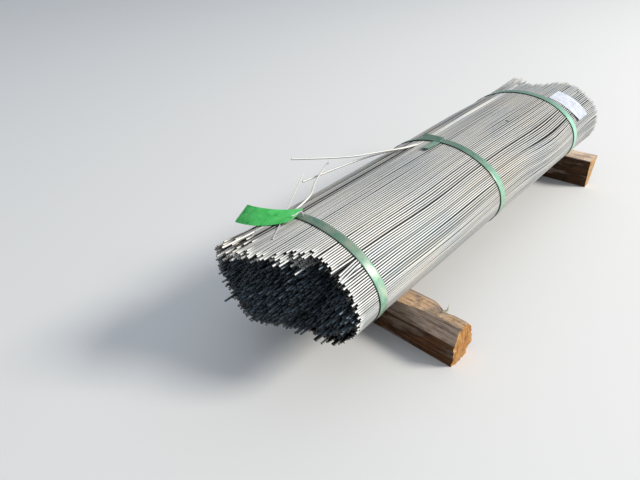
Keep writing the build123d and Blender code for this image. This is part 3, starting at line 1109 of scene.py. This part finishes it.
def sheet_piece(name, outline, holes, spacing, place, thickness, material):
    """A thin sheet: flat points inside an outline, put in place by a function, with thickness."""
    loops = [outline] + holes

    def within(u, v):
        return inside_loop(outline, u, v) and not any(inside_loop(hole, u, v) for hole in holes)

    def clear(u, v):
        gaps = [np.min(np.hypot(*(np.array(loop) - (u, v)).T)) for loop in loops]
        return min(gaps) > 0.6 * spacing

    coords = [Vector(point) for loop in loops for point in loop]
    edges, first = [], 0
    for loop in loops:
        edges += [(first + k, first + (k + 1) % len(loop)) for k in range(len(loop))]
        first += len(loop)
    low, high = np.min(outline, axis=0), np.max(outline, axis=0)
    for u in np.arange(low[0] + spacing, high[0] - spacing / 2, spacing):
        for v in np.arange(low[1] + spacing, high[1] - spacing / 2, spacing):
            if clear(u, v) and within(u, v):
                coords.append(Vector((u, v)))
    flat = geometry.delaunay_2d_cdt(coords, edges, [], 1, 1e-7)
    flat_points = np.array([point[:] for point in flat[0]])
    faces = [tuple(face) for face in flat[2] if within(*flat_points[list(face)].mean(axis=0))]
    mesh = bpy.data.meshes.new(name + "_flat")
    mesh.from_pydata([tuple(place(u, v)) for u, v in flat_points], [], faces)
    layer = mesh.uv_layers.new(name="sheet")
    for loop in mesh.loops:
        layer.data[loop.index].uv = (flat_points[loop.vertex_index] - low) / (high - low)
    mesh.materials.append(material)
    holder = linked(name + "_flat", mesh)
    modifier = holder.modifiers.new("thickness", "SOLIDIFY")
    modifier.thickness = thickness
    modifier.offset = 0
    piece = made_mesh(name, holder)
    piece.data.shade_smooth()
    piece.data.set_sharp_from_angle(angle=math.radians(50))
    fix_normals(piece.data)
    return piece


def rounded_outline(width, height, radii, steps=6, spacing=4 * MM):
    """A rectangle's outline from (0, 0), anticlockwise, with a radius for each corner."""
    corners = [(0, 0), (width, 0), (width, height), (0, height)]
    points = []
    for index, ((u, v), radius) in enumerate(zip(corners, radii)):
        middle_u = u + radius if u == 0 else u - radius
        middle_v = v + radius if v == 0 else v - radius
        for k in range(steps + 1):
            turn = math.pi * (1 + 0.5 * index) + k / steps * math.pi / 2
            points.append((middle_u + radius * math.cos(turn), middle_v + radius * math.sin(turn)))
    dense = []
    for (u1, v1), (u2, v2) in zip(points, points[1:] + points[:1]):
        parts = max(1, round(math.hypot(u2 - u1, v2 - v1) / spacing))
        dense += [(u1 + (u2 - u1) * k / parts, v1 + (v2 - v1) * k / parts) for k in range(parts)]
    return dense


# Label: paper that lies over the rods beside the back strap
label_from, label_to = oval_angle(23), oval_angle(66.5)
label_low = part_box("white_label")[0]
label_width = 60 * MM
label_height = label_to - label_from
label_skew = 14 * MM
label_skew_middle = 0.57
rod_felt = 6 * MM  # how far aside of a rod the paper still lies on it
label_gap = 0.45 * MM
label_sag, sag_width = 0.25 * MM, 4 * MM
curl_height = 5.0 * MM
curl_width, curl_length = 22 * MM, 34 * MM
label_margin = 12 * MM
label_rods = [k for k in range(first_count)
              if label_from - label_margin < row_places[k] < label_to + label_margin]


def label_place(u, v):
    """u runs along the rods, v up the bundle's side."""
    y = label_low.y + u + label_skew * (label_skew_middle - v / label_height)
    x_here = np.array([np.interp(y, station_y, settled[:, k, 0]) for k in label_rods])
    z_here = np.array([np.interp(y, station_y, settled[:, k, 1]) for k in label_rods])
    at = on_oval(label_from + v)
    out = (on_oval(label_from + v, -10 * MM) - at) / (10 * MM)
    aside = (z_here - at[1]) * out[0] - (x_here - at[0]) * out[1]
    proud = (x_here - at[0]) * out[0] + (z_here - at[1]) * out[1]
    sagged = proud + label_sag * np.cos(aside / sag_width * math.pi)
    under = np.max(np.where(np.abs(aside) < rod_felt, sagged, -1))
    curl = curl_height * max(0.0, 1 - u / curl_width) ** 2 * max(0.0, 1 - v / curl_length) ** 1.5
    lift = rod_radius + max(under, 0.0) + label_gap + curl
    return at[0] + out[0] * lift, y, at[1] + out[1] * lift


label_outline = rounded_outline(label_width, label_height, [1 * MM] * 4, 3, 2 * MM)
label = sheet_piece("paper_label", label_outline, [], 2.0 * MM, label_place, 0.25 * MM,
                    paper_material("label_paper"))
finished(label, "white_label")

# Tag: a bent card, with its middle line and its short side at three places, tied at the last
tag_length = 138 * MM
tag_width = 41 * MM
tag_middles = np.array([(-158, -166, 258), (-101, -164.5, 270), (-28, -138, 288)]) * MM
tag_sides = np.array([(-4, -32.5, -25), (7, -38, -14), (9, -40, -5)], dtype=float)
tag_sides *= tag_width / np.linalg.norm(tag_sides, axis=1)[:, None]
tag_stops = np.array([0, 0.43, 1.0])
tag_wave = 0.9 * MM
tag_corners = [4 * MM, 12 * MM, 3 * MM, 2 * MM]
# Its holes, as (u, v, radius): the tie's, and a small one at the hanging end
tag_holes = [(tag_length - 9 * MM, tag_width / 2 - 4 * MM, 2.5 * MM),
             (17 * MM, tag_width / 2, 1.3 * MM)]


def through_three(values, share):
    """The smooth curve through three values at the tag's stops."""
    a, b, c = tag_stops
    return (values[0] * (share - b) * (share - c) / ((a - b) * (a - c))
            + values[1] * (share - a) * (share - c) / ((b - a) * (b - c))
            + values[2] * (share - a) * (share - b) / ((c - a) * (c - b)))


def tag_place(u, v):
    """u runs from the hanging end to the tied end, v from the lower edge to the upper one."""
    share = u / tag_length
    middle, side = through_three(tag_middles, share), through_three(tag_sides, share)
    across = 0.5 - v / tag_width
    normal = np.cross(side, through_three(tag_middles, share + 0.01) - middle)
    normal *= math.copysign(1, normal[2]) / np.linalg.norm(normal)
    return middle + side * across + normal * tag_wave * math.sin(share * 7 + across * 1.5)


hole_turns = np.linspace(0, 2 * math.pi, 14, endpoint=False)
tag_cuts = [[(u + radius * math.cos(turn), v + radius * math.sin(turn)) for turn in hole_turns]
            for u, v, radius in tag_holes]
tag = sheet_piece("green_card", rounded_outline(tag_length, tag_width, tag_corners), tag_cuts,
                  4 * MM, tag_place, 0.6 * MM, tag_material("tag_card"))
finished(tag, "green_tag")


# The tag's tie and the binding wire
def above(x, y, lift):
    """A point above the bundle's upper outline."""
    return np.array([x, y, centre_z + arch_at(x) + lift])


cord_sides = 8
tie_radius = 0.9 * MM
wire_radius = 1.0 * MM
front_middle = strap_middles[0]
tie_hole = np.array(tag_place(*tag_holes[0][:2]))
tie_rim = np.array(tag_place(tag_length, tag_width / 2 + 8 * MM))
tie_foot = above(-28 * MM, front_middle, strap_gap + strap_thickness + 0.7 * MM)
tie_points = [place + np.array(step) * MM for place, step in (
    (tie_hole, (0, 0, -2)), (tie_hole, (0, 0, 2.2)), (tie_hole, (3, 2, 1.8)),
    (tie_rim, (0, 0, 1.2)), (tie_rim, (4, 3, 0.3)), (tie_foot, (3, 0, 2)), (tie_foot, (0, 0, 0)),
)]
tie = bars_piece("card_tie", [smooth_line(tie_points)], tie_radius, cord_sides,
                 cord_material("white_cord"))
finished(tie, "tag_tie")

wire_bend = above(-46 * MM, front_middle - 35 * MM, 1.5 * MM)
wire_points = [above(-14 * MM, front_middle - 81 * MM, 1.5 * MM)]
wire_points += [wire_bend + np.array(step) * MM
                for step in ((0, 0, 0), (-24, 41, 3.5), (-55, 113, 32.9))]
wire = bars_piece("thin_wire", [smooth_line(wire_points)], wire_radius, cord_sides, free_zinc,
                  np.array([0.4]))
finished(wire, "binding_wire")


# Bearers: rough timber, drawn as a profile that is carried along x and roughened
def dense_loop(corners, spacing):
    """Points along a closed loop of corners, with the number of the side that each lies on."""
    points, sides = [], []
    for side, (first, second) in enumerate(zip(corners, corners[1:] + corners[:1])):
        run = np.subtract(second, first)
        parts = max(1, round(float(np.hypot(*run)) / spacing))
        points += [np.add(first, run * k / parts) for k in range(parts)]
        sides += [side] * parts
    return np.array(points), np.array(sides)


def rough(place, scale, octaves=4):
    """Fractal noise from about -1 to 1, stretched by a scale for each axis."""
    return noise.fractal(Vector(place) * Vector(scale), 0.9, 2.1, octaves)


profile_spacing = 2.6 * MM
slice_spacing = 4 * MM
cap_rings = 9
cap_dents = 0.7 * MM
flat_to, flat_fade = 90 * MM, 60 * MM  # the bundle keeps this part of a top from swelling
ridge_from, ridge_fade = 180 * MM, 30 * MM  # torn ridges, beyond the bundle
ridge_width = 8 * MM
jag_length = 14 * MM


def timber_piece(name, box, middle_y, corners, shift, roughness, paleness, ridges, jags, material):
    """A length of timber: corners of its profile with a roughness and a paleness for each side,
    torn ridges on its top and a jagged right-hand end."""
    (x_from, _, _), (x_to, _, top) = box
    loop, sides = dense_loop(corners, profile_spacing)
    count = len(loop)
    run = np.roll(loop, -1, axis=0) - np.roll(loop, 1, axis=0)
    outward = np.stack([-run[:, 1], run[:, 0]], axis=1)
    outward /= np.hypot(outward[:, 0], outward[:, 1])[:, None]
    size = np.array(roughness)[sides] * MM
    size = np.minimum(size, np.roll(size, 1))
    pale = np.array(paleness)[sides]
    slices = np.arange(x_from, x_to + 1 * MM, slice_spacing)
    slices = x_from + (slices - x_from) * (x_to - x_from) / (slices[-1] - x_from)
    points, torn = [], []
    for x in slices:
        for k in range(count):
            y, z = loop[k]
            out_y, out_z = outward[k]
            y = shift(x, y, z)
            coarse = rough((x, y + middle_y, z), (9, 38, 38))
            fine = rough((x, y + middle_y, z), (45, 260, 260), 3)
            move = size[k] * (0.7 * coarse + 0.5 * fine)
            if z > top - 3 * MM or out_z > 0.6:
                free = smooth((abs(x) - flat_to) / flat_fade)
                ridge = abs(rough((x, y + middle_y, 0.3), (14, 150, 1), 3))
                ridge *= math.exp(-((y - 4 * MM) / ridge_width) ** 2)
                move = -abs(move) * (1 - free) + move * free
                move += ridges * smooth((x - ridge_from) / ridge_fade) * ridge
            if abs(out_y) > 0.9:
                move = -abs(move)
            if out_z < -0.6:
                move = 0
            jag = jags * abs(rough((0.7, y + middle_y, z), (1, 42, 30), 2))
            jag *= smooth((x - x_to + jag_length) / jag_length)
            points.append((x - jag, y + middle_y + out_y * move, max(z + out_z * move, 0)))
            torn.append(min(1.0, max(0.0, pale[k] + 0.5 * coarse + 0.3 * fine)))
    faces = grid_faces(len(slices), count)
    side_faces = len(faces)
    centre = np.array((0, middle_y + loop[:, 0].mean(), loop[:, 1].mean()))
    # Dented caps: rings of points that shrink towards the profile's middle
    for first, x, outwards in ((0, x_from, -1), (len(slices) - 1, x_to, 1)):
        rings = [range(first * count, first * count + count)]
        for ring in range(1, cap_rings):
            shrink = 1 - ring / cap_rings
            rings.append(range(len(points), len(points) + count))
            for k in rings[0]:
                edge = np.array(points[k])
                at = centre * (1 - shrink) + edge * shrink
                at[0] = x + (edge[0] - x) * shrink ** 4
                dent = abs(cap_dents * rough((x, at[1], at[2]), (1, 120, 120), 3))
                points.append((at[0] - dent * outwards, at[1], at[2]))
                torn.append(0)
        for outer, inner in zip(rings, rings[1:]):
            for k in range(count):
                after = (k + 1) % count
                faces.append((outer[k], outer[after], inner[after], inner[k])[::outwards])
        faces.append(tuple(rings[-1])[::outwards])
    mesh = bpy.data.meshes.new(name)
    mesh.from_pydata(points, [], faces)
    ends = np.zeros(len(faces), dtype=np.float32)
    ends[side_faces:] = 1
    torn = np.array(torn, dtype=np.float32)
    mesh.attributes.new("sawn_end", "FLOAT", "FACE").data.foreach_set("value", ends)
    mesh.attributes.new("torn", "FLOAT", "POINT").data.foreach_set("value", torn)
    mesh.materials.append(material)
    fix_normals(mesh)
    mesh.shade_smooth()
    mesh.set_sharp_from_angle(angle=math.radians(40))
    return linked(name, mesh)


old_timber = timber_material("old_timber", dark_tint=(0.85, 0.82, 0.78),
                             end_tint=(0.88, 0.82, 0.76), pale_tint=(1.08, 1.0, 0.90),
                             patch_share=0.7)
square_timber = timber_material("square_timber", dark_tint=(0.5, 0.54, 0.58),
                                end_tint=(0.95, 1.14, 1.5), pale_tint=(1.25, 1.36, 1.52),
                                patch_share=0.2)

# The front bearer, in mm: sawn in front, with a bevel, and a curved side that still has its
# bark, through three places at heights of 80, 40 and 0
sawn_front = -33
bevel_foot = 56
bevel_edge = -6
bark_top, bark_middle, bark_foot = 11, 33, 27
bark_side = []
for height in np.linspace(80, 0, 12)[1:-1]:
    bark_side.append((bark_top * (height - 40) * height / 3200
                      - bark_middle * (height - 80) * height / 1600
                      + bark_foot * (height - 80) * (height - 40) / 3200, height))
front_profile = [(sawn_front, 0), (sawn_front, bevel_foot), (bevel_edge, 79.8), (bark_top, 79.8)]
front_profile += bark_side + [(bark_foot, 0)]
front_profile = [(y * MM, z * MM) for y, z in front_profile]
front_rough = [0.8, 1.1, 1.4] + [2.0] * (len(bark_side) + 1) + [0]
front_pale = [0.05, 0.5, 1.0] + [0.1] * (len(bark_side) + 1) + [0]


def front_shift(x, y, z):
    """The sawn bearer's top narrows towards its right-hand end, from both sides."""
    bevel_top = blend(-19, -7, smooth((x / MM - 95) / 95)) * MM
    back_top = blend(26, 10, smooth((x / MM - 150) / 42)) * MM
    if z > 79 * MM:
        across = (y / MM - bevel_edge) / (bark_top - bevel_edge)
        return blend(bevel_top, back_top, across)
    if y < bevel_edge * MM + 0.1 * MM:
        across = (y / MM - sawn_front) / (bevel_edge - sawn_front)
        return blend(sawn_front * MM, bevel_top, across)
    return y + (back_top - bark_top * MM) * smooth(z / (50 * MM) - 0.6)


sawn_bearer = timber_piece("sawn_bearer", bearer_front, 0.0, front_profile, front_shift,
                           front_rough, front_pale, 9 * MM, 9 * MM, old_timber)
finished(sawn_bearer, "bearer_front")

# A splinter that stands up from the sawn bearer's torn edge
splinter_line = smooth_line([(0.183, 0.009, 0.0775), (0.188, 0.010, 0.083),
                             (0.193, 0.012, 0.090), (0.192, 0.013, 0.099)])
splinter_radii = np.linspace(4.6, 0.8, len(splinter_line)) * MM
splinter_flatness = 0.6
splinter_sides = 7
splinter_points = []
for (x, y, z), radius in zip(splinter_line, splinter_radii):
    for turn in 2 * math.pi * np.arange(splinter_sides) / splinter_sides:
        splinter_points.append((x + radius * math.cos(turn),
                                y + splinter_flatness * radius * math.sin(turn), z))
splinter_faces = grid_faces(len(splinter_line), splinter_sides)
splinter_last = len(splinter_points) - splinter_sides
splinter_faces += [tuple(range(splinter_sides)),
                   tuple(range(splinter_last, len(splinter_points)))]
splinter_mesh = bpy.data.meshes.new("splinter")
splinter_mesh.from_pydata(splinter_points, [], splinter_faces)
splinter_mesh.materials.append(fresh_wood_material("fresh_wood"))
fix_normals(splinter_mesh)
splinter_mesh.shade_smooth()
splinter = linked("splinter", splinter_mesh)
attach(splinter, "root")

# The back bearer: square, with its edges slightly broken
back_low, back_high = bearer_back
back_middle = (back_low.y + back_high.y) / 2
back_half = (back_high.y - back_low.y) / 2
back_height = back_high.z
back_edge = 1.5 * MM
back_top = back_height - 0.1 * MM
back_profile = [
    (-back_half + back_edge, 0), (-back_half, back_edge),
    (-back_half, back_height - back_edge), (-back_half + back_edge, back_top),
    (back_half - back_edge, back_top), (back_half, back_height - back_edge),
    (back_half, back_edge), (back_half - back_edge, 0),
]
back_rough = [0.3, 0.7, 0.5, 0.7, 0.5, 0.7, 0.3, 0]
back_pale = [0, 0, 0.6, 0.9, 0.6, 0, 0, 0]


def back_shift(x, y, z):
    """The square bearer's far side is split away towards its right-hand end, more and more
    downwards."""
    share = smooth((x / MM - 135) / 35) * (1 - z / back_height)
    return y - (y + back_half) * 0.55 * share


square_bearer = timber_piece("square_bearer", bearer_back, back_middle, back_profile, back_shift,
                             back_rough, back_pale, 1.5 * MM, 1.5 * MM, square_timber)
finished(square_bearer, "bearer_back")

# Floor: its colour, and a darker one for the light that it throws back at the bundle
floor_size = 30.0
floor_mesh = bpy.data.meshes.new("floor")
floor_mesh.from_pydata([(x * floor_size, y * floor_size, 0)
                        for x, y in ((-1, -1), (1, -1), (1, 1), (-1, 1))], [], [(0, 1, 2, 3)])
floor = linked("floor", floor_mesh)
pale_floor = Shades("pale_floor")
rays = pale_floor.nodes.new("ShaderNodeLightPath").outputs
seen = pale_floor.larger(rays["Is Camera Ray"], rays["Is Glossy Ray"])
seen = pale_floor.larger(seen, rays["Is Transmission Ray"])
floor_colour = pale_floor.mix(seen, (0.15, 0.14, 0.13), (0.80, 0.80, 0.79))
floor_mesh.materials.append(pale_floor.coated(floor_colour, 0.9, None))

# Light: a wide soft lamp high behind the right-hand side, and a pale sky
sky = Shades("sky", bpy.data.worlds.new("sky"))
bpy.context.scene.world = sky.material
towards = sky.split(sky.direction)
behind = sky.plus(sky.times(towards["Y"], 0.7), sky.times(towards["X"], 0.5))
glow = sky.plus(sky.times(behind, 0.32), sky.times(towards["Z"], 0.55))
lighting = sky.range(glow, -0.22, 0.78, 0.02, 0.95)
seen = sky.nodes.new("ShaderNodeLightPath").outputs["Is Camera Ray"]
sky.put(sky.shader.inputs["Strength"], sky.larger(lighting, sky.times(seen, 0.7)))
sky.shader.inputs["Color"].default_value = (0.83, 0.90, 1.0, 1)


def soft_lamp(name, place, aim, size, power, colour):
    """A square area lamp that faces a point."""
    lamp = bpy.data.lights.new(name, "AREA")
    lamp.size = size
    lamp.energy = power
    lamp.color = colour
    holder = linked(name, lamp)
    holder.location = place
    holder.rotation_euler = (Vector(aim) - Vector(place)).to_track_quat("-Z", "Y").to_euler()


bundle_middle = (0, 0.31, 0.15)
soft_lamp("key", (5.0, 3.55, 4.2), bundle_middle, 1.9, 500, (1.0, 0.95, 0.87))

# Camera, at the photograph's angle
camera_place = (521.3 * MM, -598.2 * MM, 720.0 * MM)
camera_yaw = math.radians(-47.25)
camera_pitch = math.radians(34.32)
camera_roll = math.radians(5.53)
focal_pixels = 482.9
frame_pixels = 640
forward = Vector((math.sin(camera_yaw) * math.cos(camera_pitch),
                  math.cos(camera_yaw) * math.cos(camera_pitch), -math.sin(camera_pitch)))
level_right = Vector((math.cos(camera_yaw), -math.sin(camera_yaw), 0))
level_down = forward.cross(level_right)
right = level_right * math.cos(camera_roll) + level_down * math.sin(camera_roll)
down = level_down * math.cos(camera_roll) - level_right * math.sin(camera_roll)
camera_data = bpy.data.cameras.new("camera")
camera_data.sensor_width = 36.0
camera_data.lens = camera_data.sensor_width * focal_pixels / frame_pixels
camera = linked("camera", camera_data)
camera_turn = Matrix((right, -down, -forward)).transposed().to_4x4()
camera.matrix_world = Matrix.Translation(camera_place) @ camera_turn
bpy.context.scene.camera = camera
bpy.context.scene.view_settings.view_transform = "Standard"
